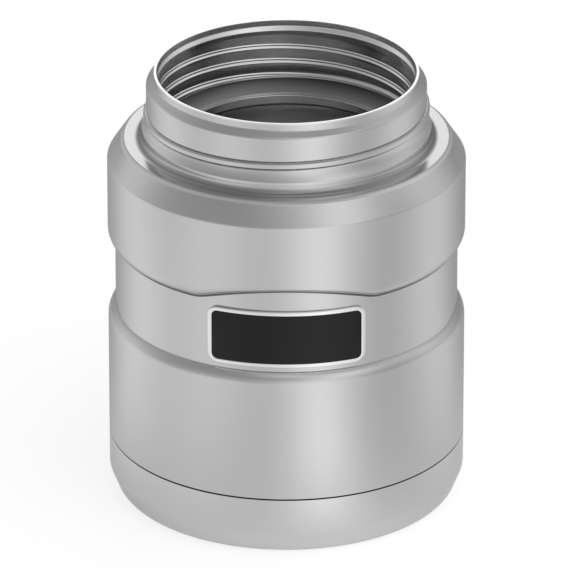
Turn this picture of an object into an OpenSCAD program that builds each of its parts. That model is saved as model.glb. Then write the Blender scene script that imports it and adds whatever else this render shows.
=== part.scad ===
// Wide-mouth vacuum food jar, body only: a double-walled stainless vessel, welded at its lip.
//
// Every sheet-metal piece is one surface path, turned round the jar's axis, with the sheet laid
// on one side of it. The origin is at the middle of the foot ring, +Z points up through the
// mouth, and the badge faces -Y.

/* [Sheet metal] */
// Thickness of the outer shell's sheet
shell_t = 0.4; // [0.3:0.05:0.6]
// Thickness of the liner's sheet
liner_t = 0.3; // [0.2:0.05:0.5]
// Thickness of the base cap's sheet
cap_t = 0.5; // [0.3:0.05:0.7]
// Thickness of the welded vacuum bottom's sheet
bottom_t = 0.5; // [0.4:0.05:0.8]

/* [Outer shell] */
// Outside diameter of the jar
body_d = 94; // [86:1:104]
// Height of the recess's lower crease above the table
recess_z = 52.5; // [46:0.5:58]
// Height of the recess between its two creases
recess_h = 19; // [16:0.5:24]
// How far the recess lies behind the body
recess_depth = 1.95; // [1.4:0.05:2.4]
// Radius that rounds the body into the recess, above and below it
recess_edge_r = 4; // [3:0.1:5]
// Height of the upper band, from the recess's upper crease to the shoulder
band_h = 22.6; // [18:0.2:27]
// How far the shoulder's slope leans in
shoulder_in = 3.5; // [2.5:0.1:4.5]
// How far the shoulder's slope rises
shoulder_rise = 5.2; // [4:0.1:7]
// Width of the rounded crest above the slope
crest_in = 1; // [0.6:0.1:1.4]
// Rise of that crest up to the flat ledge
crest_rise = 0.6; // [0.4:0.1:0.9]
// Height of the small bevel from the welded skirt out to the body
seam_bevel = 0.3; // [0.2:0.05:0.4]

/* [Badge window] */
// Radius of the arch that the band's lower edge follows above the badge
arch_r = 63.5; // [56:0.5:72]
// Rise of the arch above the recess's upper crease
arch_rise = 4.2; // [3:0.1:5]
// Height of the arch's rounded edge at the middle, as a share of the recess's own
arch_edge_share = 0.5; // [0.35:0.05:1]

/* [Neck] */
// Outside diameter of the neck
neck_d = 73.4; // [70:0.2:76]
// Height of the neck above the ledge
neck_h = 18.3; // [16.5:0.1:21]
// How far the neck's foot stands out, as a share of the width from the neck to the ledge's edge
neck_foot_out = 0.22; // [0.14:0.01:0.28]
// Radius of the fillet between the ledge and the neck's foot
neck_fillet_r = 1.2; // [0.8:0.1:1.4]
// Least width of the ledge that stays flat outside that fillet
ledge_flat = 0.4; // [0.2:0.1:1]
// Height of the cup thread's middle above the ledge
cup_thread_h = 7.3; // [6.8:0.1:8.5]
// Height of the wall that the cup thread's ridge takes up
cup_thread_w = 2; // [1.6:0.1:2.2]
// Height of the taper from the neck's foot up to the cup thread
foot_taper_h = 3.2; // [2.4:0.1:3.6]
// Height of the thin collar under the lip
collar_h = 2; // [1.5:0.1:2.4]
// Height of the cone between the neck and the collar
collar_cone_h = 1.35; // [1:0.05:1.8]

/* [Liner] */
// Space between the neck and the liner
neck_gap = 2.7; // [2.2:0.1:3.1]
// Space between the recess and the liner
vacuum_gap = 2.2; // [1.8:0.1:3]
// Extra radius of the mouth above its inner step
mouth_step = 0.65; // [0.4:0.05:0.9]
// Depth of the inner step's upper edge below the lip
step_depth = 1.45; // [1.2:0.05:2]
// Height of the inner step
step_h = 1.35; // [1:0.05:1.8]
// Depth of the stopper's seat below the lip
seat_depth = 16.3; // [15:0.1:17.5]
// Width of the seat, from the mouth's wall to the throat
seat_in = 5.3; // [4:0.1:6.5]
// Drop of the seat's cone towards the throat
seat_drop = 2.4; // [1.8:0.1:2.8]
// Radius between the seat and the mouth's wall
seat_corner_r = 1; // [0.6:0.1:1.4]
// Width of the bevel on the throat's upper edge
throat_bevel = 0.6; // [0.4:0.1:0.8]
// Extra radius at the throat's lower edge
throat_flare = 0.6; // [0.3:0.1:1]
// Radius that rounds the throat's lower edge
throat_edge_r = 0.8; // [0.5:0.1:1]
// Space between the ledge and the liner's shoulder
ledge_gap = 2.7; // [2.2:0.1:3.4]
// Radius of the chamber's upper shoulder
chamber_shoulder_r = 7; // [5:0.5:9]
// Slope of the chamber's top, up towards the throat, in degrees
shoulder_tilt = 5; // [3:1:8]
// Radius of the chamber's lower corner
chamber_corner_r = 8; // [6:0.5:11]
// Height of the chamber's floor above the table
floor_z = 13.4; // [12.8:0.1:17]

/* [Vacuum space] */
// Thickness of the radiation foil over its creases
foil_t = 0.15; // [0.1:0.05:0.2]
// Radius of the getter pellet
getter_r = 4; // [3:0.5:6]
// Thickness of the getter pellet
getter_h = 1.4; // [1:0.1:1.6]
// Distance of the getter from the jar's axis
getter_x = 22; // [18:1:28]
// Width of the getter's strap
strap_w = 3; // [2:0.5:4]
// Thickness of the getter's strap
strap_t = 0.2; // [0.1:0.05:0.3]
// Length of each welded foot of the strap
strap_foot = 2.5; // [2:0.5:4]
// Radius of the vent hole in the vacuum bottom
vent_r = 0.8; // [0.6:0.1:1.2]
// Radius of the dimple that holds the vent's seal
dimple_r = 4.5; // [3.5:0.5:6]
// Depth of that dimple
dimple_h = 1; // [0.8:0.1:1.2]

/* [Base] */
// Height of the base cap
cap_h = 16.4; // [14:0.2:19]
// Width of the seam between the cap and the shell
seam_gap = 0.4; // [0.2:0.05:0.6]
// How far the foot's slope leans in
foot_in = 2.65; // [2:0.05:3.2]
// Height of the foot's slope, measured to the table
foot_h = 6.8; // [5.5:0.1:7.5]
// Radius between the foot's slope and the table
foot_r = 3.7; // [2.5:0.1:4.5]
// Width of the flat ring that stands on the table
foot_ring_w = 6; // [4:0.5:9]
// Depth of the pressed-in middle of the cap
cap_recess_h = 1.8; // [1:0.1:2.6]
// Thickness of the adhesive between the cap and the shell
bond_t = 0.3; // [0.2:0.05:0.5]
// Height of the adhesive ring
bond_h = 5; // [3:0.5:7]
// Distance from the cap's upper edge down to the adhesive
bond_drop = 1.4; // [1:0.1:2]
// Height of the shell's welded edge above the table
weld_z = 7.2; // [6.8:0.1:8]
// Height of the vacuum bottom's flange
flange_h = 3; // [2.4:0.1:3.2]
// Radius between the vacuum bottom and its flange
bottom_corner_r = 1.6; // [1.2:0.1:2]

/* [Badge] */
// Width of the badge plate, straight across
badge_w = 41; // [30:1:46]
// Space between the badge and each crease of the recess
badge_margin = 1.6; // [1:0.1:3]
// Thickness of the badge plate
badge_t = 0.7; // [0.5:0.1:0.9]
// Corner radius of the badge plate
badge_corner_r = 2.6; // [1.5:0.1:4]
// Width of the badge's bright rim
badge_rim_w = 1.1; // [0.8:0.1:1.6]
// Depth of the badge's field behind its rim
badge_field_depth = 0.3; // [0.2:0.05:0.4]
// Thickness of the enamel that fills the field
enamel_t = 0.2; // [0.1:0.05:0.2]
// Thickness of the adhesive film behind the badge
tape_t = 0.13; // [0.1:0.01:0.2]

/* [Hidden] */
$fn = 96;

// Play between round pieces that nest in each other
play = 0.02;
// Steps of an arc in a rounded edge, and of one in a small edge
arc_steps = 6;
edge_steps = 4;
// Distance that a cutter runs past what it cuts
over = 1;

// Radii of the shell
body_r = body_d / 2;
recess_r = body_r - recess_depth;
skirt_r = body_r - cap_t - bond_t;
neck_r = neck_d / 2;
ledge_r = body_r - shoulder_in - crest_in;
neck_foot_r = neck_r + neck_foot_out * (ledge_r - neck_r);
// The fillet at the neck's foot is limited by the ledge that it stands on
neck_fillet = min(neck_fillet_r, ledge_r - neck_foot_r - ledge_flat);
// Angle at which a rounded edge of the recess meets the recess's wall
edge_angle = acos(1 - recess_depth / recess_edge_r);
edge_rise = recess_edge_r * sin(edge_angle);

// Heights of the shell
seam_z = cap_h + seam_gap;
recess_top = recess_z + recess_h;
band_top = recess_top + band_h;
ledge_z = band_top + shoulder_rise + crest_rise;
lip_z = ledge_z + neck_h;
// The taper of the neck's foot ends under the cup thread
taper_top_z = ledge_z + cup_thread_h - cup_thread_w / 2;

// Radii of the liner
mouth_r = neck_r - shell_t - neck_gap - liner_t;
collar_r = mouth_r + mouth_step;
lip_r = collar_r + liner_t + play + shell_t;
throat_r = mouth_r - seat_in;
throat_low_r = throat_r + throat_flare;
chamber_r = recess_r - shell_t - vacuum_gap - liner_t;

// Heights of the liner
seat_z = lip_z - seat_depth;
shoulder_z = ledge_z - shell_t - ledge_gap - liner_t;
wall_bottom = floor_z + chamber_corner_r;
wall_top = shoulder_z - chamber_shoulder_r;

// The seat is a cone, and its corner's arc touches the cone and the mouth's wall
seat_slope = atan(seat_drop / seat_in);
seat_low_z = seat_z - seat_drop;
seat_corner_z = seat_z + seat_corner_r * (1 - sin(seat_slope)) / cos(seat_slope);
// The chamber's sloping top touches its shoulder's arc and the arc of the throat's lower edge
shoulder_slope_w = chamber_r - throat_low_r
    - (chamber_shoulder_r + throat_edge_r) * (1 - sin(shoulder_tilt));
throat_edge_z = wall_top + (chamber_shoulder_r + throat_edge_r) * cos(shoulder_tilt)
    + shoulder_slope_w * tan(shoulder_tilt);

// The vacuum bottom and what it carries
flange_r = skirt_r - shell_t - play;
bottom_z = weld_z + flange_h;
dimple_z = bottom_z + dimple_h;

// The cap's foot: its slope from the upright, and the flat ring that stands on the table
foot_slope = atan(foot_in / foot_h);
ring_outer_r = body_r - foot_in - foot_r * tan((90 - foot_slope) / 2);
ring_inner_r = ring_outer_r - foot_ring_w;

// The badge's stack, from the recess outwards
badge_h = recess_h - 2 * badge_margin;
tape_r = recess_r + play;
plate_r = tape_r + tape_t + play;
field_r = plate_r + badge_t - badge_field_depth;

// ---------------------------------------------------------------- paths

function unit(v) = v / norm(v);
function left_of(v) = [-v[1], v[0]];
function reversed(list) = [for (i = [len(list) - 1:-1:0]) list[i]];

// Corner of a path moved by t to the path's left, with the corner kept sharp
function moved_corner(before, at, after, t) =
    let (a = left_of(unit(at - before)), b = left_of(unit(after - at)))
    at + t * (a + b) / (1 + a * b);

// A whole path moved by t to its left
function moved(path, t) =
    let (last = len(path) - 1)
    [for (i = [0:last])
        moved_corner(i == 0 ? 2 * path[0] - path[1] : path[i - 1],
                     path[i],
                     i == last ? 2 * path[last] - path[last - 1] : path[i + 1],
                     t)];

// Points on an arc round c, from angle a to angle b
function arc(c, r, a, b, steps = arc_steps) =
    [for (i = [0:steps]) let (t = a + (b - a) * i / steps) c + r * [cos(t), sin(t)]];

// A smooth step from p to q that leaves and arrives upright
function ease(p, q, steps = arc_steps) =
    [for (i = [0:steps]) let (s = i / steps)
        [p[0] + (q[0] - p[0]) * (1 - cos(180 * s)) / 2, p[1] + (q[1] - p[1]) * s]];

// Sheet of thickness t on the left of a path (on its right where t is negative)
module sheet(path, t) {
    rotate_extrude()
        polygon(concat(path, reversed(moved(path, t))));
}

module tube(r_in, r_out, z_low, z_high) {
    translate([0, 0, z_low])
        difference() {
            cylinder(r = r_out, h = z_high - z_low);
            translate([0, 0, -over])
                cylinder(r = r_in, h = z_high - z_low + 2 * over);
        }
}

// ---------------------------------------------------------------- outer shell

// The shell's outside, from its welded lower edge to the lip
shell_path = concat(
    [[skirt_r, weld_z], [skirt_r, seam_z - seam_bevel], [body_r, seam_z]],
    arc([body_r - recess_edge_r, recess_z - edge_rise], recess_edge_r, 0, edge_angle),
    arc([body_r - recess_edge_r, recess_top + edge_rise], recess_edge_r, -edge_angle, 0),
    [[body_r, band_top],
     [body_r - shoulder_in, band_top + shoulder_rise],
     [ledge_r, ledge_z]],
    arc([neck_foot_r + neck_fillet, ledge_z + neck_fillet], neck_fillet, 270, 180),
    [[neck_foot_r, taper_top_z - foot_taper_h], [neck_r, taper_top_z],
     [neck_r, lip_z - collar_h - collar_cone_h], [lip_r, lip_z - collar_h], [lip_r, lip_z]]);

// Height of the arch's edge above the recess's upper crease, at x from the middle
function arch_z(x) = arch_rise - arch_r + sqrt(arch_r * arch_r - x * x);
// Distance from the middle at which the arch comes down to that crease
arch_half = sqrt(arch_r * arch_r - pow(arch_r - arch_rise, 2));
// The arch's rounded edge is low at the middle and full at its two ends
function arch_share(x) =
    arch_edge_share + (1 - arch_edge_share) * min(1, pow(x / arch_half, 2));

// The cutter's rounded edge runs past both walls that it cuts, so that no corner of it lies on
// either wall: it is round from edge_from to edge_to, as shares of edge_angle, and straight beyond
edge_from = 1.12;
edge_to = 0.17;
run_in = 1.2;
run_out = 3;
window_low_z = recess_z + recess_h / 2;

// Section of the window's cutter at angle a from the front, as (radius, height) points.
// inside is 0 for the shell's outer surface and shell_t for its inner one.
function window_section(a, inside) =
    let (x = recess_r * sin(a),
         edge_z = recess_top + arch_z(x),
         rounded = [for (i = [0:arc_steps])
             let (t = edge_angle * (edge_from + (edge_to - edge_from) * i / arc_steps))
             [body_r - recess_edge_r * (1 - cos(t)) - inside * cos(t),
              edge_z + arch_share(x) * recess_edge_r * (sin(edge_angle) - sin(t))
                  + inside * sin(t)]],
         inner = rounded[0] - run_in * unit(rounded[1] - rounded[0]),
         outer = rounded[arc_steps]
             + run_out * unit(rounded[arc_steps] - rounded[arc_steps - 1]))
    concat([[inner[0], window_low_z], inner], rounded, [outer, [outer[0], window_low_z]]);

// The cutter runs a few degrees past each end of the arch
window_past = 6;
window_angle = asin(arch_half / recess_r) + window_past;
window_step = 2;
window_steps = ceil(2 * window_angle / window_step);

// Block in front of the jar whose top is the rounded arch
module window_block(inside) {
    angles = [for (i = [0:window_steps]) window_angle * (2 * i / window_steps - 1)];
    sections = [for (a = angles) window_section(a, inside)];
    n = len(sections[0]);
    last = window_steps * n;
    points = [for (i = [0:window_steps]) for (p = sections[i])
        [p[0] * sin(angles[i]), -p[0] * cos(angles[i]), p[1]]];
    sides = [for (i = [0:window_steps - 1]) for (j = [0:n - 1])
        let (k = (j + 1) % n, here = i * n, there = here + n)
        each [[here + j, there + j, here + k], [here + k, there + j, there + k]]];
    near_end = [for (j = [0:n - 3]) [n - 1, j, j + 1]];
    far_end = [for (j = [0:n - 3]) [last + n - 1, last + j + 1, last + j]];
    polyhedron(points, concat(sides, near_end, far_end));
}

// What the window takes from the band, down to the recess's own wall
module window_cut(inside) {
    intersection() {
        window_block(inside);
        tube(recess_r - inside, body_r + over, window_low_z + over, band_top);
    }
}

// Solid of revolution inside one of the shell's surfaces, with the window let into it
module shell_form(path, inside) {
    difference() {
        rotate_extrude()
            polygon(concat([[0, path[0][1]]], path, [[0, path[len(path) - 1][1]]]));
        window_cut(inside);
    }
}

module outer_shell() {
    color("silver")
        difference() {
            shell_form(shell_path, 0);
            shell_form(moved(shell_path, shell_t), shell_t);
        }
}

// ---------------------------------------------------------------- liner

// The liner's inside, from its welded lower edge to the lip
liner_path = concat(
    [[chamber_r, wall_bottom]],
    arc([chamber_r - chamber_shoulder_r, wall_top], chamber_shoulder_r, 0, 90 - shoulder_tilt),
    arc([throat_low_r + throat_edge_r, throat_edge_z],
        throat_edge_r, 270 - shoulder_tilt, 180, edge_steps),
    [[throat_r, seat_low_z - throat_bevel],
     [throat_r + throat_bevel, seat_low_z + throat_bevel * tan(seat_slope)]],
    arc([mouth_r - seat_corner_r, seat_corner_z],
        seat_corner_r, 270 + seat_slope, 360, edge_steps),
    ease([mouth_r, lip_z - step_depth - step_h], [collar_r, lip_z - step_depth]),
    [[collar_r, lip_z]]);

module inner_liner() {
    color("gainsboro")
        sheet(liner_path, -liner_t);
}

module liner_floor() {
    color("gainsboro")
        sheet(concat([[0, floor_z]],
                     arc([chamber_r - chamber_corner_r, wall_bottom], chamber_corner_r, 270, 360)),
              -liner_t);
}

// ---------------------------------------------------------------- vacuum space

module foil_wrap() {
    foil_r = chamber_r + liner_t + play;
    color("lightgray")
        tube(foil_r, foil_r + foil_t, wall_bottom, wall_top);
}

module foil_disc() {
    color("lightgray")
        translate([0, 0, floor_z - liner_t - foil_t])
            cylinder(r = chamber_r - chamber_corner_r, h = foil_t);
}

module getter_pellet() {
    color("dimgray")
        translate([getter_x, 0, bottom_z])
            cylinder(r = getter_r, h = getter_h);
}

// Strap over the pellet, with two feet welded to the vacuum bottom
module getter_strap() {
    half = getter_r + play;
    color("gray")
        translate([getter_x - strap_w / 2, 0, bottom_z]) {
            translate([0, -half - strap_t, getter_h])
                cube([strap_w, 2 * (half + strap_t), strap_t]);
            for (side = [-1, 1]) {
                translate([0, side * (half + strap_t / 2) - strap_t / 2, 0])
                    cube([strap_w, strap_t, getter_h + strap_t]);
                translate([0, side * (half + strap_foot / 2) - strap_foot / 2, 0])
                    cube([strap_w, strap_foot, strap_t]);
            }
        }
}

// ---------------------------------------------------------------- base

// The vacuum bottom's upper side: dimple, floor, and the flange welded inside the shell
bottom_path = concat(
    [[0, dimple_z], [dimple_r, dimple_z], [dimple_r + dimple_h, bottom_z]],
    arc([flange_r - bottom_corner_r, bottom_z - bottom_corner_r], bottom_corner_r, 90, 0),
    [[flange_r, weld_z]]);

module vacuum_bottom() {
    color("darkgray")
        difference() {
            sheet(bottom_path, -bottom_t);
            translate([0, 0, bottom_z])
                cylinder(r = vent_r, h = 2 * dimple_h);
        }
}

// Solder that fills the dimple and closes the vent
module vent_seal() {
    under_z = dimple_z - bottom_t;
    color("saddlebrown") {
        translate([0, 0, under_z - dimple_h + play])
            cylinder(r = dimple_r - bottom_t, h = dimple_h - play);
        translate([0, 0, under_z - play])
            cylinder(r = vent_r - play, h = bottom_t);
    }
}

module bond_ring() {
    top_z = cap_h - bond_drop;
    color("ivory")
        tube(skirt_r + play, skirt_r + bond_t - play, top_z - bond_h, top_z);
}

// The cap's outside, from its pressed-in middle, round the foot and up to the seam
cap_path = concat(
    [[0, cap_recess_h], [ring_inner_r - cap_recess_h, cap_recess_h], [ring_inner_r, 0]],
    arc([ring_outer_r, foot_r], foot_r, 270, 360 - foot_slope),
    [[body_r, foot_h], [body_r, cap_h]]);

module base_cap() {
    color("silver")
        sheet(cap_path, cap_t);
}

// ---------------------------------------------------------------- badge

// Rounded outline, moved in by inset, on the jar's front between two radii
module badge_layer(r_in, r_out, inset) {
    w = badge_w - 2 * inset;
    h = badge_h - 2 * inset;
    r = badge_corner_r - inset;
    intersection() {
        tube(r_in, r_out, recess_z, recess_top);
        translate([0, 0, recess_z + badge_margin + badge_h / 2])
            rotate([90, 0, 0])
                linear_extrude(height = 2 * body_r) {
                    square([w - 2 * r, h], center = true);
                    square([w, h - 2 * r], center = true);
                    for (x = [-1, 1], y = [-1, 1])
                        translate([x * (w / 2 - r), y * (h / 2 - r)])
                            circle(r = r);
                }
    }
}

module badge_tape() {
    color("white")
        badge_layer(tape_r, tape_r + tape_t, badge_rim_w / 2);
}

module badge_plate() {
    color("whitesmoke")
        difference() {
            badge_layer(plate_r, plate_r + badge_t, 0);
            badge_layer(field_r, body_r, badge_rim_w);
        }
}

module badge_enamel() {
    color("black")
        badge_layer(field_r + play, field_r + play + enamel_t, badge_rim_w + play);
}

// ---------------------------------------------------------------- all pieces

outer_shell();
inner_liner();
liner_floor();
foil_wrap();
foil_disc();
getter_pellet();
getter_strap();
vacuum_bottom();
vent_seal();
bond_ring();
base_cap();
badge_tape();
badge_plate();
badge_enamel();
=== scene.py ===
"""Looks of the wide-mouth vacuum food jar, body only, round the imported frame.

Sizes are in millimetres, as in the part's source, and become metres where a mesh is made.
"""

from math import acos, atan, cos, degrees, exp, hypot, pi, radians, sin, sqrt, tan

import bpy
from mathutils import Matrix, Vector

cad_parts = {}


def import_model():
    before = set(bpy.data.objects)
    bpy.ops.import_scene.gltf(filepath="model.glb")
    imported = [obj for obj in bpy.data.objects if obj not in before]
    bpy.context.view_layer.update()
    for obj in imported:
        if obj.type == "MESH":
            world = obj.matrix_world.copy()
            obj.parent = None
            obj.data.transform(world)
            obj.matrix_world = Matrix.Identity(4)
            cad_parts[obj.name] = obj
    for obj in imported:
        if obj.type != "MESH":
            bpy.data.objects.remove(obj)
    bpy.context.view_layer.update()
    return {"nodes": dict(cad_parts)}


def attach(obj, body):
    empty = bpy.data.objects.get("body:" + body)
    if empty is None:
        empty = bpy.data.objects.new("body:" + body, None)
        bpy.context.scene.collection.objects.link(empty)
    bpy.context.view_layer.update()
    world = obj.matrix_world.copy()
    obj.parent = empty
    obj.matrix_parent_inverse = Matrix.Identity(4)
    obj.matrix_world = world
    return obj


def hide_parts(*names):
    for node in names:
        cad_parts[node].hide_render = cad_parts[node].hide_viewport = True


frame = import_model()

MM = 0.001

# ---------------------------------------------------------------- sizes, as in the part's source

SHELL_T, LINER_T, CAP_T = 0.4, 0.3, 0.5
BODY_R = 47.0
RECESS_Z, RECESS_H, RECESS_DEPTH, RECESS_EDGE_R = 52.5, 19.0, 1.95, 4.0
BAND_H, SHOULDER_IN, SHOULDER_RISE, CREST_IN, CREST_RISE = 22.6, 3.5, 5.2, 1.0, 0.6
SEAM_BEVEL = 0.3
ARCH_R, ARCH_RISE, ARCH_EDGE_SHARE = 63.5, 4.2, 0.5
NECK_R, NECK_H, NECK_FOOT_OUT = 36.7, 18.3, 0.22
CUP_THREAD_H, CUP_THREAD_W, FOOT_TAPER_H = 7.3, 2.0, 3.2
COLLAR_H, COLLAR_CONE_H = 2.0, 1.35
MOUTH_R, MOUTH_STEP, STEP_DEPTH, STEP_H = 33.3, 0.65, 1.45, 1.35
SEAT_DEPTH, SEAT_IN, SEAT_DROP, SEAT_CORNER_R = 16.3, 5.3, 2.4, 1.0
THROAT_BEVEL, THROAT_FLARE, THROAT_EDGE_R = 0.6, 0.6, 0.8
CHAMBER_R, CHAMBER_SHOULDER_R, CHAMBER_CORNER_R, SHOULDER_TILT = 42.15, 7.0, 8.0, 5.0
FLOOR_Z = 13.4
CAP_H, SEAM_GAP, WELD_Z, SKIRT_R = 16.4, 0.4, 7.2, 46.2
FOOT_IN, FOOT_H, FOOT_R, FOOT_RING_W, CAP_RECESS_H = 2.65, 6.8, 3.7, 6.0, 1.8
BADGE_W, BADGE_H, BADGE_CORNER_R, BADGE_RIM_W = 41.0, 15.8, 2.6, 1.1
BADGE_T, BADGE_FIELD_DEPTH, ENAMEL_T, TAPE_T = 0.7, 0.3, 0.2, 0.13
PLAY = 0.02

# These two differ from the solids, where the fillet at the neck's foot is 1.2, and where the
# chamber's shoulder and the throat's lower edge are 1.2 higher
NECK_FILLET_R = 2.0
SHOULDER_Z = 96.5 - 1.2

# Radii of the sections' corners
SKIRT_CORNER_R, SEAM_CORNER_R, CAP_EDGE_R = 0.1, 0.15, 0.15
BAND_CORNER_R, CREST_CORNER_R, LEDGE_CORNER_R = 1.2, 0.5, 0.3
CONE_CORNER_R, COLLAR_CORNER_R, LIP_CORNER_R, BRIM_CORNER_R = 0.9, 0.5, 0.08, 0.06
THROAT_CORNER_R, BEVEL_CORNER_R = 0.4, 0.3    # the throat's is less than in the solids
CAP_RECESS_CORNER_R, RING_CORNER_R, FOOT_CORNER_R = 0.8, 0.7, 0.8

RECESS_R = BODY_R - RECESS_DEPTH
RECESS_TOP = RECESS_Z + RECESS_H
BAND_TOP = RECESS_TOP + BAND_H
SEAM_Z = CAP_H + SEAM_GAP
LEDGE_R = BODY_R - SHOULDER_IN - CREST_IN
LEDGE_Z = BAND_TOP + SHOULDER_RISE + CREST_RISE
LIP_Z = LEDGE_Z + NECK_H
NECK_FOOT_R = NECK_R + NECK_FOOT_OUT * (LEDGE_R - NECK_R)
TAPER_TOP_Z = LEDGE_Z + CUP_THREAD_H - CUP_THREAD_W / 2
EDGE_ANGLE = degrees(acos(1 - RECESS_DEPTH / RECESS_EDGE_R))
EDGE_RISE = RECESS_EDGE_R * sin(radians(EDGE_ANGLE))
ARCH_HALF = sqrt(ARCH_R ** 2 - (ARCH_R - ARCH_RISE) ** 2)
COLLAR_R = MOUTH_R + MOUTH_STEP
LIP_R = COLLAR_R + LINER_T + PLAY + SHELL_T
THROAT_R = MOUTH_R - SEAT_IN
THROAT_LOW_R = THROAT_R + THROAT_FLARE
SEAT_Z = LIP_Z - SEAT_DEPTH
SEAT_LOW_Z = SEAT_Z - SEAT_DROP
SEAT_SLOPE = degrees(atan(SEAT_DROP / SEAT_IN))
SEAT_CORNER_Z = (SEAT_Z + SEAT_CORNER_R * (1 - sin(radians(SEAT_SLOPE)))
                 / cos(radians(SEAT_SLOPE)))
WALL_BOTTOM = FLOOR_Z + CHAMBER_CORNER_R
WALL_TOP = SHOULDER_Z - CHAMBER_SHOULDER_R
TILT = radians(SHOULDER_TILT)
THROAT_EDGE_Z = (WALL_TOP + (CHAMBER_SHOULDER_R + THROAT_EDGE_R) * cos(TILT)
                 + (CHAMBER_R - THROAT_LOW_R
                    - (CHAMBER_SHOULDER_R + THROAT_EDGE_R) * (1 - sin(TILT))) * tan(TILT))
FOOT_SLOPE = degrees(atan(FOOT_IN / FOOT_H))
RING_OUTER_R = BODY_R - FOOT_IN - FOOT_R * tan(radians((90 - FOOT_SLOPE) / 2))
RING_INNER_R = RING_OUTER_R - FOOT_RING_W
TAPE_R = RECESS_R + PLAY
PLATE_R = TAPE_R + TAPE_T + PLAY
FIELD_R = PLATE_R + BADGE_T - BADGE_FIELD_DEPTH
BADGE_Z = RECESS_Z + RECESS_H / 2

# Both threads are right-handed, with one pitch. Angles are in degrees from +X, seen from above.
PITCH = 4.15
FRONT, BACK = 270, 90
ARCH_SOFT = 0.25    # how far the arch's ends run out into the recess's crease
# Pressed creases too fine for the solids: how deep and how high the line is, at the recess's
# lower edge, under the arch, and above and below the neck's ridge
LOW_CREASE, ARCH_CREASE = (0.17, 0.2), (0.75, 0.45)
UPPER_CREASE, LOWER_CREASE = (0.45, 0.1), (0.9, 0.2)
# The rolled ridge outside the neck: one turn, whose two ends fade at the back. Its height at the
# front, how far it stands out, how far it reaches up and down from there, and its flanks' heights.
RIDGE_Z, RIDGE_H, RIDGE_UP, RIDGE_DOWN = 107.4, 0.75, 0.9, 1.05
RIDGE_UPPER_FLANK, RIDGE_LOWER_FLANK, RIDGE_FADE = 0.45, 0.3, 15
# The taper above the neck's foot starts this much higher than in the solids, and is hollow
FOOT_EASE, FOOT_CURVE = 0.5, 1.8
# The rolled groove inside the mouth: its height at the back, its turns, and the angles of its
# ends with how far they fade. The top turn has this share of the depth, from this angle on.
GROOVE_BACK_Z, GROOVE_TURNS = 102.65, 3
GROOVE_FROM, GROOVE_FADE_IN, GROOVE_TO, GROOVE_FADE_OUT = -60, 25, 1000, 60
GROOVE_TOP_SHARE, GROOVE_TOP_FROM, GROOVE_TOP_FADE = 0.85, 560, 140
# The groove's lower flank is two slopes (from, height and depth) with a strip of plain wall
# between them, and above them the wall comes back slowly
GROOVE_LOW, GROOVE_HIGH = (-0.53, 0.42, 0.45), (0.28, 0.25, 0.27)
GROOVE_RETURN = 2.7

# How closely the threads' walls are stepped upwards, how far under the collar's cone the neck
# needs no such steps, and the steps round the jar and along the sections' arcs
NECK_GRID, MOUTH_GRID, NECK_PLAIN_H = 0.06, 0.06, 3
WALL_STEPS, BASE_STEPS = 480, 240
EDGE_STEPS, FILLET_STEPS, THROAT_STEPS, STEP_STEPS, FLOOR_STEPS = 12, 10, 6, 14, 16
BADGE_CORNER_STEPS, BADGE_SIDE_STEPS = 8, 24

# Degrees between two faces from which their edge is drawn sharp
SHARP, BADGE_SHARP = 32, 40


# ---------------------------------------------------------------- sections

# A rounded corner takes at most this share of the edge beside it. A moved path is kept from
# running out where it folds back, and its corners keep at least this radius.
CORNER_REACH, FOLD_LIMIT, LEAST_CORNER_R = 0.49, 0.3, 0.05
NEAR_AXIS = 1e-6


def arc(centre_r, centre_z, radius, start, end, steps):
    """Points on an arc, as sharp corners (r, z, 0)."""
    turns = [radians(start + (end - start) * i / steps) for i in range(steps + 1)]
    return [(centre_r + radius * cos(t), centre_z + radius * sin(t), 0) for t in turns]


def ease(p, q, steps):
    """A smooth step from p to q that leaves and arrives upright."""
    return [(p[0] + (q[0] - p[0]) * (1 - cos(pi * i / steps)) / 2,
             p[1] + (q[1] - p[1]) * i / steps, 0) for i in range(steps + 1)]


def unit(x, z):
    """The direction (x, z) at length 1."""
    size = hypot(x, z) or 1
    return x / size, z / size


def rounded(path, steps=4):
    """The path with each corner (r, z, radius) replaced by an arc of that radius."""
    points = []
    for i, (r, z, radius) in enumerate(path):
        if radius <= 0 or i in (0, len(path) - 1):
            points.append((r, z))
            continue
        ax, az = unit(path[i - 1][0] - r, path[i - 1][1] - z)
        bx, bz = unit(path[i + 1][0] - r, path[i + 1][1] - z)
        half = acos(max(-1, min(1, ax * bx + az * bz))) / 2
        room = min(hypot(path[i - 1][0] - r, path[i - 1][1] - z),
                   hypot(path[i + 1][0] - r, path[i + 1][1] - z)) * CORNER_REACH
        reach = min(radius / tan(half), room)
        for k in range(steps + 1):
            s = k / steps
            w0, w1, w2 = (1 - s) ** 2, 2 * s * (1 - s), s ** 2
            points.append((w0 * (r + ax * reach) + w1 * r + w2 * (r + bx * reach),
                           w0 * (z + az * reach) + w1 * z + w2 * (z + bz * reach)))
    return points


def moved(path, t):
    """The path moved by t to its left, with its corners' radii to match."""
    result = []
    for i, (r, z, radius) in enumerate(path):
        back = path[max(i - 1, 0)]
        ahead = path[min(i + 1, len(path) - 1)]
        ax, az = unit(r - back[0], z - back[1]) if i else unit(ahead[0] - r, ahead[1] - z)
        bx, bz = unit(ahead[0] - r, ahead[1] - z) if i < len(path) - 1 else (ax, az)
        share = t / max(1 + ax * bx + az * bz, FOLD_LIMIT)
        turn = ax * bz - az * bx
        grown = 0
        if radius > 0:
            grown = max(radius - t * (1 if turn > 0 else -1), LEAST_CORNER_R)
        result.append((r - (az + bz) * share, z + (ax + bx) * share, grown))
    return result


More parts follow.
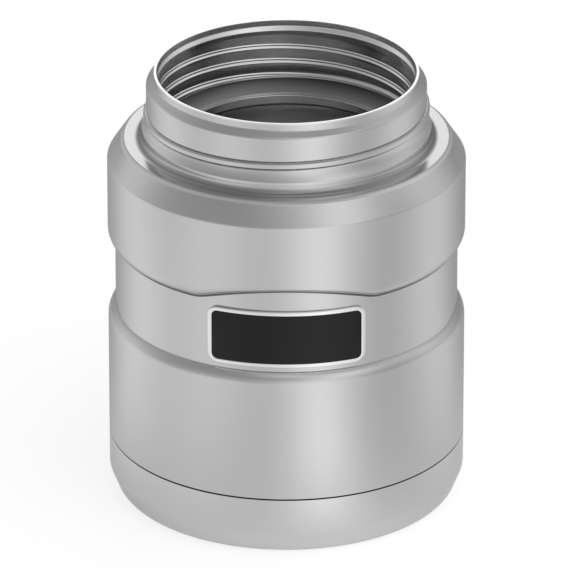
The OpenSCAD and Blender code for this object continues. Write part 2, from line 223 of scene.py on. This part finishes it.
def behind(wall, t, pick):
    """Hidden side of a sheet behind a wall of close points, which passes over its fine lines."""
    span = round(abs(t) / (wall[1][1] - wall[0][1]))
    return [(pick(p[0] for p in wall[max(i - span, 0):i + span + 1]) - t, z, 0)
            for i, (_, z, _) in enumerate(wall)]


def smooth(x):
    """Rises from 0 to 1 between x = 0 and x = 1, level at both."""
    x = max(0, min(1, x))
    return x * x * (3 - 2 * x)


def slope(x, soft=0.12):
    """Rises straight from 0 to 1 between x = 0 and x = 1, with softened corners."""
    return (1 + hypot(x, soft) - hypot(x - 1, soft)) / 2


# ---------------------------------------------------------------- meshes

def made(name, points, faces, node, sharp=SHARP):
    """Object from a mesh in mm, which stands for a CAD node and rides with it."""
    mesh = bpy.data.meshes.new(name)
    mesh.from_pydata([(x * MM, y * MM, z * MM) for x, y, z in points], [], faces)
    mesh.validate()
    mesh.polygons.foreach_set("use_smooth", [True] * len(mesh.polygons))
    mesh.set_sharp_from_angle(angle=radians(sharp))
    piece = bpy.data.objects.new(name, mesh)
    bpy.context.scene.collection.objects.link(piece)
    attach(piece, "root")
    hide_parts(node)
    return piece


def turned(name, section, steps, node):
    """Closed mesh whose section at an angle is the closed list section(angle) of (r, z).

    The section runs anticlockwise in the (r, z) plane, so that the faces look outwards.
    """
    points, rows, axis = [], [], {}
    for i in range(steps):
        angle = 360 * i / steps
        c, s = cos(radians(angle)), sin(radians(angle))
        row = []
        for j, (r, z) in enumerate(section(angle)):
            if r < NEAR_AXIS:
                if j not in axis:
                    axis[j] = len(points)
                    points.append((0, 0, z))
                row.append(axis[j])
            else:
                row.append(len(points))
                points.append((r * c, r * s, z))
        rows.append(row)
    faces = []
    count = len(rows[0])
    for i in range(steps):
        here, there = rows[i], rows[(i + 1) % steps]
        for j in range(count):
            k = (j + 1) % count
            face = [here[j], there[j], there[k], here[k]]
            face = [v for n, v in enumerate(face) if v not in face[:n]]
            if len(face) > 2:
                faces.append(face)
    return made(name, points, faces, node)


# ---------------------------------------------------------------- outer shell

def arch_lift(angle):
    """How far the arch lifts the band's lower edge, and the share of the edge's height there."""
    off = radians(angle - FRONT)
    if cos(off) <= 0:
        return 0, 1
    x = RECESS_R * sin(off)
    rise = ARCH_RISE - ARCH_R + sqrt(ARCH_R ** 2 - x * x)
    share = ARCH_EDGE_SHARE + (1 - ARCH_EDGE_SHARE) * min(1, (x / ARCH_HALF) ** 2)
    return (rise + sqrt(rise * rise + 4 * ARCH_SOFT * ARCH_SOFT)) / 2, share


def ridge_turn(angle):
    """The angle along the neck's ridge, from one end of it at the back to the other."""
    return angle if angle >= BACK else angle + 360


def crease(u, deep, high):
    """Depth of a pressed line at a height u above its middle."""
    return deep * exp(-(u / high) ** 2)


def neck_wall(angle, z):
    """Radius of the neck's outside, with its rolled ridge and the taper of its foot."""
    off = ridge_turn(angle) - FRONT
    u = z - RIDGE_Z - PITCH * off / 360
    ridge = RIDGE_H * smooth((180 - abs(off)) / RIDGE_FADE)
    fade = ridge / RIDGE_H
    ridge *= slope((RIDGE_UP - u) / RIDGE_UPPER_FLANK) * slope((RIDGE_DOWN + u) / RIDGE_LOWER_FLANK)
    sunk = max(0, min(1, (TAPER_TOP_Z + FOOT_EASE - z) / (FOOT_TAPER_H + FOOT_EASE)))
    foot = (NECK_FOOT_R - NECK_R) * sunk ** FOOT_CURVE
    lines = crease(u - RIDGE_UP, *UPPER_CREASE) + crease(u + RIDGE_DOWN, *LOWER_CREASE)
    return NECK_R + max(ridge, foot) - fade * lines


def shell_section(angle):
    """The outer shell from its welded edge up to the lip, and back down inside."""
    lift, share = arch_lift(angle)
    edge_r = BODY_R - RECESS_EDGE_R
    top = [(edge_r + RECESS_EDGE_R * cos(radians(t)),
            RECESS_TOP + lift
            + share * RECESS_EDGE_R * (sin(radians(EDGE_ANGLE)) + sin(radians(t))), 0)
           for t in [-EDGE_ANGLE * (1 - i / EDGE_STEPS) for i in range(EDGE_STEPS + 1)]]
    low_edge = [(SKIRT_R, WELD_Z, 0), (SKIRT_R, SEAM_Z - SEAM_BEVEL, SKIRT_CORNER_R),
                (BODY_R, SEAM_Z, SEAM_CORNER_R)]
    low_edge += arc(edge_r, RECESS_Z - EDGE_RISE, RECESS_EDGE_R, 0, EDGE_ANGLE, EDGE_STEPS)
    creases = [(RECESS_R - LOW_CREASE[0], RECESS_Z + LOW_CREASE[1] / 2, 0),
               (RECESS_R, RECESS_Z + LOW_CREASE[1], 0),
               (RECESS_R, top[0][1] - ARCH_CREASE[1], 0),
               (RECESS_R - ARCH_CREASE[0], top[0][1] - ARCH_CREASE[1] / 2, 0)]
    path = low_edge + creases + top
    path += [(BODY_R, BAND_TOP, BAND_CORNER_R),
             (BODY_R - SHOULDER_IN, BAND_TOP + SHOULDER_RISE, CREST_CORNER_R),
             (LEDGE_R, LEDGE_Z, LEDGE_CORNER_R)]
    foot_r = neck_wall(angle, LEDGE_Z + NECK_FILLET_R)
    path += arc(foot_r + NECK_FILLET_R, LEDGE_Z + NECK_FILLET_R, NECK_FILLET_R,
                270, 180, FILLET_STEPS)
    low = LEDGE_Z + NECK_FILLET_R + NECK_GRID
    count = int((LIP_Z - COLLAR_H - COLLAR_CONE_H - NECK_PLAIN_H - low) / NECK_GRID)
    heights = [low + NECK_GRID * i for i in range(count)]
    wall = [(neck_wall(angle, z), z, 0) for z in heights]
    start = len(path)
    path += wall
    path += [(NECK_R, LIP_Z - COLLAR_H - COLLAR_CONE_H, CONE_CORNER_R),
             (LIP_R, LIP_Z - COLLAR_H, COLLAR_CORNER_R), (LIP_R, LIP_Z, LIP_CORNER_R)]
    inside = moved(path, SHELL_T)
    inside[start:start + len(wall)] = behind(wall, SHELL_T, min)
    return rounded(path + [(LIP_R - SHELL_T, LIP_Z, 0)]) + rounded(inside)[::-1]


# ---------------------------------------------------------------- liner

def groove(angle, z):
    """Depth of the rolled groove at a height on the mouth's wall."""
    depth = 0
    for turn in range(-1, GROOVE_TURNS + 1):
        along = angle + 360 * turn
        if not GROOVE_FROM < along < GROOVE_TO:
            continue
        fade = (smooth((along - GROOVE_FROM) / GROOVE_FADE_IN)
                * smooth((GROOVE_TO - along) / GROOVE_FADE_OUT))
        fade *= 1 - (1 - GROOVE_TOP_SHARE) * smooth((along - GROOVE_TOP_FROM) / GROOVE_TOP_FADE)
        u = z - GROOVE_BACK_Z - PITCH * (along - BACK) / 360
        flank = sum(deep * slope((u - low) / high) for low, high, deep in (GROOVE_LOW, GROOVE_HIGH))
        depth = max(depth, fade * flank * slope(1 - (u - sum(GROOVE_HIGH[:2])) / GROOVE_RETURN))
    return depth


def liner_section(angle):
    """The liner's outside from the chamber's wall up to the lip, and back down inside."""
    path = [(CHAMBER_R, WALL_BOTTOM, 0)]
    path += arc(CHAMBER_R - CHAMBER_SHOULDER_R, WALL_TOP, CHAMBER_SHOULDER_R,
                0, 90 - SHOULDER_TILT, EDGE_STEPS)
    path += arc(THROAT_LOW_R + THROAT_EDGE_R, THROAT_EDGE_Z, THROAT_EDGE_R,
                270 - SHOULDER_TILT, 180, THROAT_STEPS)
    bevel_z = SEAT_LOW_Z + THROAT_BEVEL * tan(radians(SEAT_SLOPE))
    path += [(THROAT_R, SEAT_LOW_Z - THROAT_BEVEL, THROAT_CORNER_R),
             (THROAT_R + THROAT_BEVEL, bevel_z, BEVEL_CORNER_R)]
    path += arc(MOUTH_R - SEAT_CORNER_R, SEAT_CORNER_Z, SEAT_CORNER_R,
                270 + SEAT_SLOPE, 360, THROAT_STEPS)
    low = SEAT_CORNER_Z + MOUTH_GRID
    step_z = LIP_Z - STEP_DEPTH - STEP_H
    heights = [low + MOUTH_GRID * i for i in range(int((step_z - low) / MOUTH_GRID))]
    wall = [(MOUTH_R + groove(angle, z), z, 0) for z in heights]
    start = len(path)
    path += wall
    path += ease((MOUTH_R, step_z), (COLLAR_R, LIP_Z - STEP_DEPTH), STEP_STEPS)
    path += [(COLLAR_R, LIP_Z, BRIM_CORNER_R)]
    outside = moved(path, -LINER_T)
    outside[start:start + len(wall)] = behind(wall, -LINER_T, max)
    return rounded(outside) + rounded(path + [(COLLAR_R + LINER_T, LIP_Z, 0)])[::-1]


def floor_section(_angle):
    """The liner's drawn floor, the same at every angle."""
    path = [(0, FLOOR_Z, 0)]
    path += arc(CHAMBER_R - CHAMBER_CORNER_R, WALL_BOTTOM, CHAMBER_CORNER_R, 270, 360,
                FLOOR_STEPS)
    return rounded(moved(path, -LINER_T)) + rounded(path)[::-1]


# ---------------------------------------------------------------- base cap

def cap_section(_angle):
    """The base cap from the middle of its underside to its rim, the same at every angle."""
    path = [(0, CAP_RECESS_H, 0), (RING_INNER_R - CAP_RECESS_H, CAP_RECESS_H, CAP_RECESS_CORNER_R),
            (RING_INNER_R, 0, RING_CORNER_R)]
    path += arc(RING_OUTER_R, FOOT_R, FOOT_R, 270, 360 - FOOT_SLOPE, EDGE_STEPS)
    path += [(BODY_R, FOOT_H, FOOT_CORNER_R), (BODY_R, CAP_H, CAP_EDGE_R)]
    inside = moved(path, CAP_T)
    return rounded(path + [(BODY_R - CAP_T, CAP_H, 0)]) + rounded(inside)[::-1]


# ---------------------------------------------------------------- badge

def upper_outline(inset):
    """Points (x, z) on the upper half of the badge's outline, from -X to +X."""
    half_w, half_h = BADGE_W / 2 - inset, BADGE_H / 2 - inset
    r = BADGE_CORNER_R - inset
    turns = [pi / 2 * i / BADGE_CORNER_STEPS for i in range(BADGE_CORNER_STEPS + 1)]
    corner = [(-half_w + r - r * cos(t), half_h - r + r * sin(t)) for t in turns]
    side = [((half_w - r) * (2 * i / BADGE_SIDE_STEPS - 1), half_h)
            for i in range(1, BADGE_SIDE_STEPS)]
    return corner + side + [(-x, z) for x, z in corner[::-1]]


def badge_loop(inset, radius):
    """One closed loop of points on the cylinder of that radius, round the badge."""
    upper = upper_outline(inset)
    lower = [(x, -z) for x, z in upper[::-1]]
    return [(x, -sqrt(radius ** 2 - x * x), BADGE_Z + z) for x, z in upper + lower]


def badge_piece(name, rings, node):
    """Closed mesh through the loops (inset, radius), filled across at both ends."""
    loops = [badge_loop(*ring) for ring in rings]
    n = len(loops[0])
    points = [p for loop in loops for p in loop]
    faces = [(k * n + j, k * n + (j + 1) % n, (k + 1) * n + (j + 1) % n, (k + 1) * n + j)
             for k in range(len(loops) - 1) for j in range(n)]
    last = (len(loops) - 1) * n
    half = n // 2
    for j in range(half - 1):
        faces.append((j, n - 1 - j, n - 2 - j, j + 1))
        faces.append((last + j, last + j + 1, last + n - 2 - j, last + n - 1 - j))
    return made(name, points, faces, node, BADGE_SHARP)


def badge_plate():
    """Plate with a raised rim: its rings run from the back over the rim to the sunk field."""
    rim_r = PLATE_R + BADGE_T
    return badge_piece("badge-plate", [
        (0.1, PLATE_R), (0, PLATE_R + 0.1), (0, rim_r - 0.25), (0.06, rim_r - 0.1),
        (0.2, rim_r - 0.01), (0.34, rim_r), (BADGE_RIM_W - 0.3, rim_r),
        (BADGE_RIM_W - 0.16, rim_r - 0.02), (BADGE_RIM_W - 0.05, rim_r - 0.1),
        (BADGE_RIM_W, rim_r - 0.2), (BADGE_RIM_W, FIELD_R)], "badge_plate")


def badge_enamel():
    """Thin field inside the rim, with a softened edge."""
    low, top = FIELD_R + PLAY, FIELD_R + PLAY + ENAMEL_T
    edge = BADGE_RIM_W + PLAY
    return badge_piece("badge-enamel", [
        (edge, low), (edge, top - 0.08), (edge + 0.05, top - 0.02), (edge + 0.15, top)],
        "badge_enamel")


# ---------------------------------------------------------------- materials

# How far the steel stays grey where it is seen edge on
EDGE_TINT = 0.85
# Steel: how fine the streaks are along their length and the handling marks are, per metre, how
# much of the pattern the marks are, and how far it varies the gloss
ALONG, HANDLED, HANDLED_SHARE, STEEL_GLOSS_VARIES = 30, 60, 0.3, 0.12
GRAIN_GLOSS_VARIES = 0.15

# Places (height, share) at which the steel's tone is painted darker or brighter than elsewhere on
# the piece, as painted shade and painted highlights. The shell has painted shade in the seam's gap,
# a painted highlight round the ledge's outer edge with a slightly darker line under it, painted
# shade on the fillet at the neck's foot and a painted highlight on the lip's cut edge.
SHELL_PAINTED_LIGHT_AND_SHADE = [
    (SEAM_Z - 0.35, 0.12), (SEAM_Z - 0.05, 1),
    (LEDGE_Z - 0.75, 1), (LEDGE_Z - 0.6, 0.85), (LEDGE_Z - 0.45, 1.45), (LEDGE_Z - 0.06, 1.45),
    (LEDGE_Z - 0.03, 1), (LEDGE_Z + 0.01, 1),
    (LEDGE_Z + 0.05, 0.4), (LEDGE_Z + 0.5, 0.5), (LEDGE_Z + 2.2, 1),
    (LIP_Z - 0.06, 1), (LIP_Z - 0.03, 1.5),
]
# The liner has painted shade on the chamber's shoulder and the throat's underside, on the throat's
# bevel and on the stopper's seat, and a painted highlight on its cut edge
LINER_PAINTED_LIGHT_AND_SHADE = [
    (WALL_TOP - 3, 1), (WALL_TOP + 3, 0.4), (THROAT_EDGE_Z - 0.9, 0.3),
    (THROAT_EDGE_Z - 0.7, 0.08), (THROAT_EDGE_Z - 0.2, 0.08), (THROAT_EDGE_Z + 0.2, 1),
    (SEAT_LOW_Z - THROAT_BEVEL + 0.1, 1), (SEAT_LOW_Z - THROAT_BEVEL + 0.2, 0.25),
    (SEAT_LOW_Z, 0.4), (SEAT_Z, 0.06), (SEAT_Z + 0.15, 0.03), (SEAT_Z + 0.35, 1),
    (LIP_Z - 0.06, 1), (LIP_Z - 0.03, 1.15),
]


class Nodes:
    """Short names for building a node tree."""

    def __init__(self, tree):
        self.tree = tree
        tree.nodes.clear()

    def add(self, kind, settings=None, **inputs):
        """New node, with its settings, and its inputs by name or, as i0 and i1, by number."""
        node = self.tree.nodes.new(kind)
        for key, value in (settings or {}).items():
            setattr(node, key, value)
        for key, value in inputs.items():
            self.set(node, key, value)
        return node

    def set(self, node, key, value):
        """Links an input to a socket or node, or gives it a plain value."""
        socket = node.inputs[int(key[1:]) if key[0] == "i" and key[1:].isdigit() else key]
        if isinstance(value, bpy.types.NodeSocket):
            self.tree.links.new(value, socket)
        elif isinstance(value, bpy.types.Node):
            self.tree.links.new(value.outputs[0], socket)
        else:
            socket.default_value = value

    def math(self, operation, *values):
        node = self.add("ShaderNodeMath", {"operation": operation})
        for i, value in enumerate(values):
            self.set(node, f"i{i}", value)
        return node.outputs[0]

    def ramp(self, value, low, high):
        """Value from 0 to 1 spread from low to high."""
        return self.add("ShaderNodeMapRange", None,
                        **{"Value": value, "To Min": low, "To Max": high}).outputs[0]

    def stops(self, value, places):
        """Value read on a curve of straight pieces through the places (value, result)."""
        low, high = places[0][0], places[-1][0]
        node = self.add("ShaderNodeValToRGB", None,
                        Fac=self.add("ShaderNodeMapRange", None,
                                     **{"Value": value, "From Min": low, "From Max": high}))
        marks = node.color_ramp.elements
        while len(marks) < len(places):
            marks.new(0.5)
        for mark, (at, result) in zip(marks, places):
            mark.position = (at - low) / (high - low)
            mark.color = (*grey(result), 1)
        return node.outputs[0]

    def shades(self, value, dark, light):
        """Colour from dark to light as the value goes from 0 to 1."""
        node = self.add("ShaderNodeValToRGB", None, Fac=value)
        node.color_ramp.elements[0].color = (*dark, 1)
        node.color_ramp.elements[1].color = (*light, 1)
        return node.outputs[0]


def grey(tone):
    return tone, tone, tone


def turned_grain(n, fine, along):
    """Noise drawn out round the jar's axis: lathe and brush lines on walls and on flats."""
    place = n.add("ShaderNodeTexCoord").outputs["Object"]
    x, y, z = n.add("ShaderNodeSeparateXYZ", None, i0=place).outputs
    r = n.math("SQRT", n.math("ADD", n.math("MULTIPLY", x, x), n.math("MULTIPLY", y, y)))
    vector = n.add("ShaderNodeCombineXYZ", None, i0=n.math("MULTIPLY", r, fine),
                   i1=n.math("MULTIPLY", z, fine), i2=n.math("MULTIPLY", x, along))
    noise = n.add("ShaderNodeTexNoise", {"noise_dimensions": "4D"},
                  **{"Vector": vector, "W": n.math("MULTIPLY", y, along),
                     "Scale": 1.0, "Detail": 3.0, "Roughness": 0.6})
    return noise.outputs[0]


def cloud(n, scale, detail=2.0):
    """Plain noise, of that many features per metre."""
    place = n.add("ShaderNodeTexCoord").outputs["Object"]
    return n.add("ShaderNodeTexNoise", None,
                 **{"Vector": place, "Scale": scale, "Detail": detail}).outputs[0]


def height(n):
    """Height above the foot, in mm."""
    place = n.add("ShaderNodeTexCoord").outputs["Object"]
    return n.math("MULTIPLY", n.add("ShaderNodeSeparateXYZ", None, i0=place).outputs[2], 1 / MM)


def material(name):
    m = bpy.data.materials.new(name)
    m.use_nodes = True
    n = Nodes(m.node_tree)
    shader = n.add("ShaderNodeBsdfPrincipled")
    n.add("ShaderNodeOutputMaterial", None, Surface=shader.outputs[0])
    return m, n, shader


def metal(name, tone, rough, spread=0.0, fine=3500, streak=0.03, relief=0.0, painted_shading=None):
    """Turned sheet metal: streaks round the axis in tone, gloss and relief.

    The places (height, share) it may be given paint shade and highlights into its tone along the
    jar's axis.
    """
    m, n, shader = material(name)
    lines = turned_grain(n, fine, ALONG)
    handled = cloud(n, HANDLED)
    both = n.math("MULTIPLY_ADD", handled, HANDLED_SHARE,
                  n.math("MULTIPLY", lines, 1 - HANDLED_SHARE))
    colour = n.shades(both, grey(tone * (1 - streak)), grey(tone * (1 + streak)))
    # Painted shade and painted highlights, by height
    if painted_shading:
        colour = n.add("ShaderNodeVectorMath", {"operation": "MULTIPLY"}, i0=colour,
                       i1=n.stops(height(n), painted_shading))
    n.set(shader, "Base Color", colour)
    n.set(shader, "Roughness", n.ramp(both, rough * (1 - STEEL_GLOSS_VARIES),
                                      rough * (1 + STEEL_GLOSS_VARIES)))
    n.set(shader, "Metallic", 1.0)
    shader.inputs["Specular Tint"].default_value = (*grey(EDGE_TINT), 1)
    if spread:
        shader.inputs["Anisotropic"].default_value = spread
        shader.inputs["Anisotropic Rotation"].default_value = 0.25
        n.set(shader, "Tangent", n.add("ShaderNodeTangent",
                                       {"direction_type": "RADIAL", "axis": "Z"}))
    if relief:
        n.set(shader, "Normal", n.add("ShaderNodeBump", None,
                                      **{"Height": lines, "Strength": 0.5,
                                         "Distance": relief}).outputs[0])
    return m


def foil():
    """Bright aluminium foil with fine creases."""
    m, n, shader = material("creased-foil")
    place = n.add("ShaderNodeTexCoord").outputs["Object"]
    folds = n.add("ShaderNodeTexVoronoi", {"feature": "DISTANCE_TO_EDGE"},
                  Vector=place, Scale=240.0).outputs[0]
    n.set(shader, "Base Color", n.shades(cloud(n, 500), grey(0.76), grey(0.84)))
    n.set(shader, "Roughness", n.ramp(cloud(n, 300), 0.18, 0.32))
    n.set(shader, "Metallic", 1.0)
    n.set(shader, "Normal", n.add("ShaderNodeBump", None, Height=folds, Strength=0.6,
                                  Distance=0.0003).outputs[0])
    return m


def grained(name, dark, light, rough, scale, relief, coat=0.0, metallic=0.0, gloss=0.5):
    """Non-metal, or pressed powder: grain in tone, gloss and relief."""
    m, n, shader = material(name)
    grain = cloud(n, scale, 4.0)
    n.set(shader, "Base Color", n.shades(grain, dark, light))
    n.set(shader, "Roughness", n.ramp(grain, rough * (1 - GRAIN_GLOSS_VARIES),
                                      rough * (1 + GRAIN_GLOSS_VARIES)))
    n.set(shader, "Metallic", metallic)
    n.set(shader, "Normal", n.add("ShaderNodeBump", None, Height=grain, Strength=0.4,
                                  Distance=relief).outputs[0])
    shader.inputs["Specular IOR Level"].default_value = gloss
    if coat:
        shader.inputs["Coat Weight"].default_value = coat
        shader.inputs["Coat Roughness"].default_value = 0.08
    return m


def dress(obj, m):
    """Gives the object that material in every one of its slots."""
    slots = obj.data.materials
    if not slots:
        slots.append(m)
    for i in range(len(slots)):
        slots[i] = m


# ---------------------------------------------------------------- studio

# The studio is a plain grey room with soft round lights, all far away: azimuth from the camera's
# side towards +X, elevation, sharpness and brightness. They were placed by comparing the steel's
# tones with the photo's.
LIGHTS = {
    "behind": (180, 22, 30, 0.95),
    "front": (20, 4, 8, 0.65),
    "front-low": (18, -30, 30, 0.35),
    "front-floor": (20, -75, 4, 0.5),
    "front-high": (42, 43, 15, 0.52),
    "above": (0, 63, 30, 0.3),
    "right": (110, 30, 7, 0.4),
    "right-low": (100, -20, 8, 0.35),
    "left-front": (-45, -12, 7, 0.38),
    "left-low": (-100, -25, 9, 0.42),
    "left-back": (-122, 12, 8, 0.38),
}
# The room's tone at the horizon and overhead, and how far up (as a sine) that is reached
ROOM_LOW, ROOM_HIGH, ROOM_TOP = 0.3, 0.34, 0.98
# The floor: its reach in metres, its tone, how bright the room lights it, and what it adds to
# be white to the camera
FLOOR_HALF, FLOOR_TONE, FLOOR_LIT, FLOOR_GLOW = 3.0, 0.6, 0.26, 0.68
# The jar's middle, in metres: the lamp points at it, and the floor's painted glow in the steel
# follows the room as seen from it
STUDIO_EYE = (0, 0, 0.06)
# The one lamp: place and size in metres, and watts
KEY_PLACE, KEY_SIZE, KEY_WATTS = (0.5, -0.6, 1.6), 1.4, 2
# The camera, from a model fitted to the photo's rims, creases and outline
LENS, SENSOR, FAR_END = 525.1, 36, 20
CAMERA_PLACE, CAMERA_TILT = (-0.000645, -1.985, 0.9719), 65.255


def room_tone(n, towards):
    """Brightness of the studio in a direction seen from the jar."""
    rise = n.add("ShaderNodeSeparateXYZ", None, i0=towards).outputs[2]
    tone = n.add("ShaderNodeMapRange", {"interpolation_type": "SMOOTHSTEP"},
                 **{"Value": rise, "From Min": 0.0, "From Max": ROOM_TOP,
                    "To Min": ROOM_LOW, "To Max": ROOM_HIGH}).outputs[0]
    for azimuth, elevation, sharpness, bright in LIGHTS.values():
        a, e = radians(azimuth), radians(elevation)
        light = (cos(e) * sin(a), -cos(e) * cos(a), sin(e))
        near = n.add("ShaderNodeVectorMath", {"operation": "DOT_PRODUCT"},
                     i0=towards, i1=light).outputs["Value"]
        fall = n.math("EXPONENT", n.math("MULTIPLY_ADD", near, sharpness, -sharpness))
        tone = n.math("MULTIPLY_ADD", fall, bright, tone)
    return tone


def world():
    """The room as the world's light."""
    w = bpy.data.worlds.new("studio")
    bpy.context.scene.world = w
    w.use_nodes = True
    n = Nodes(w.node_tree)
    tone = room_tone(n, n.add("ShaderNodeTexCoord").outputs["Generated"])
    n.add("ShaderNodeOutputWorld", None,
          Surface=n.add("ShaderNodeBackground", None, Color=(1, 1, 1, 1), Strength=tone))


def studio_floor():
    """Pale floor: white to the camera, and in the steel it glows with a painted pattern of the
    room's light.
    """
    half = FLOOR_HALF
    mesh = bpy.data.meshes.new("studio-floor")
    mesh.from_pydata([(-half, -half, 0), (half, -half, 0), (half, half, 0), (-half, half, 0)],
                     [], [(0, 1, 2, 3)])
    obj = bpy.data.objects.new("studio-floor", mesh)
    bpy.context.scene.collection.objects.link(obj)
    m = bpy.data.materials.new("studio-floor")
    m.use_nodes = True
    n = Nodes(m.node_tree)
    pale = n.add("ShaderNodeBsdfDiffuse", None, Color=(*grey(FLOOR_TONE), 1))
    path = n.add("ShaderNodeLightPath").outputs
    away = n.add("ShaderNodeVectorMath", {"operation": "SUBTRACT"},
                 i0=n.add("ShaderNodeNewGeometry").outputs["Position"], i1=STUDIO_EYE)
    towards = n.add("ShaderNodeVectorMath", {"operation": "NORMALIZE"}, i0=away).outputs[0]
    # In the steel the floor glows with painted light: the room's tone seen from the jar, less what
    # the room already lights it with
    painted_floor_glow = n.math("MAXIMUM", n.math("SUBTRACT", room_tone(n, towards), FLOOR_LIT), 0.0)
    shiny = n.math("MAXIMUM", path["Is Glossy Ray"], path["Is Transmission Ray"])
    glow = n.math("MULTIPLY_ADD", shiny, painted_floor_glow,
                  n.math("MULTIPLY", path["Is Camera Ray"], FLOOR_GLOW))
    n.add("ShaderNodeOutputMaterial", None,
          Surface=n.add("ShaderNodeAddShader", None, i0=pale,
                        i1=n.add("ShaderNodeEmission", None, Strength=glow)))
    mesh.materials.append(m)


def lamp(name, place, size, watts):
    """Round lamp that faces the jar and isn't mirrored in it."""
    light = bpy.data.lights.new(name, "AREA")
    light.shape, light.size, light.energy = "DISK", size, watts
    obj = bpy.data.objects.new(name, light)
    obj.location = place
    bpy.context.scene.collection.objects.link(obj)
    obj.rotation_mode = "QUATERNION"
    obj.visible_glossy = False
    obj.rotation_quaternion = (Vector(place) - Vector(STUDIO_EYE)).to_track_quat("Z", "Y")


def camera():
    data = bpy.data.cameras.new("camera")
    data.sensor_width = SENSOR
    data.lens = LENS
    data.clip_end = FAR_END
    obj = bpy.data.objects.new("camera", data)
    obj.location = CAMERA_PLACE
    obj.rotation_euler = (radians(CAMERA_TILT), 0, 0)
    bpy.context.scene.collection.objects.link(obj)
    bpy.context.scene.camera = obj


# ---------------------------------------------------------------- assembly

camera()
world()
studio_floor()
lamp("key", KEY_PLACE, KEY_SIZE, KEY_WATTS)

# The shell's and the liner's steels take painted shade and painted highlights by height, as listed
# above
satin = metal("satin-steel", 0.66, 0.17, 0.2, streak=0.02, painted_shading=SHELL_PAINTED_LIGHT_AND_SHADE)
bare = metal("liner-steel", 0.86, 0.22, 0.4, fine=2500, streak=0.05, relief=0.000002,
             painted_shading=LINER_PAINTED_LIGHT_AND_SHADE)
mill = metal("mill-steel", 0.52, 0.38, fine=1200, streak=0.06)
rim = metal("badge-rim", 0.96, 0.25, fine=900, streak=0.02)

dress(turned("outer-shell", shell_section, WALL_STEPS, "outer_shell"), satin)
dress(turned("inner-liner", liner_section, WALL_STEPS, "inner_liner"), bare)
dress(turned("liner-floor", floor_section, BASE_STEPS, "liner_floor"), bare)
dress(turned("base-cap", cap_section, BASE_STEPS, "base_cap"),
      metal("cap-steel", 0.7, 0.17, 0.2, streak=0.02))
dress(badge_plate(), rim)
dress(badge_enamel(), grained("black-enamel", grey(0.006), grey(0.012), 0.3, 90, 0.00002,
                              gloss=0.3))

# The solids that are shown as they are, each with its own material
KEPT = {
    "foil_wrap": foil(),
    "foil_disc": foil(),
    "getter_pellet": grained("pressed-powder", grey(0.18), grey(0.27), 0.7, 1500, 0.0001,
                             metallic=0.6),
    "getter_strap": mill,
    "vacuum_bottom": mill,
    "vent_seal": grained("solder-glass", (0.2, 0.15, 0.12), (0.28, 0.22, 0.17), 0.25, 400,
                         0.00005, 0.5),
    "bond_ring": grained("adhesive", (0.76, 0.74, 0.65), (0.84, 0.82, 0.74), 0.6, 600, 0.0001),
    "badge_tape": grained("foam-tape", grey(0.82), grey(0.9), 0.8, 1200, 0.0001),
}
for node, m in KEPT.items():
    dress(frame["nodes"][node], m)

bpy.context.scene.view_settings.view_transform = "Standard"
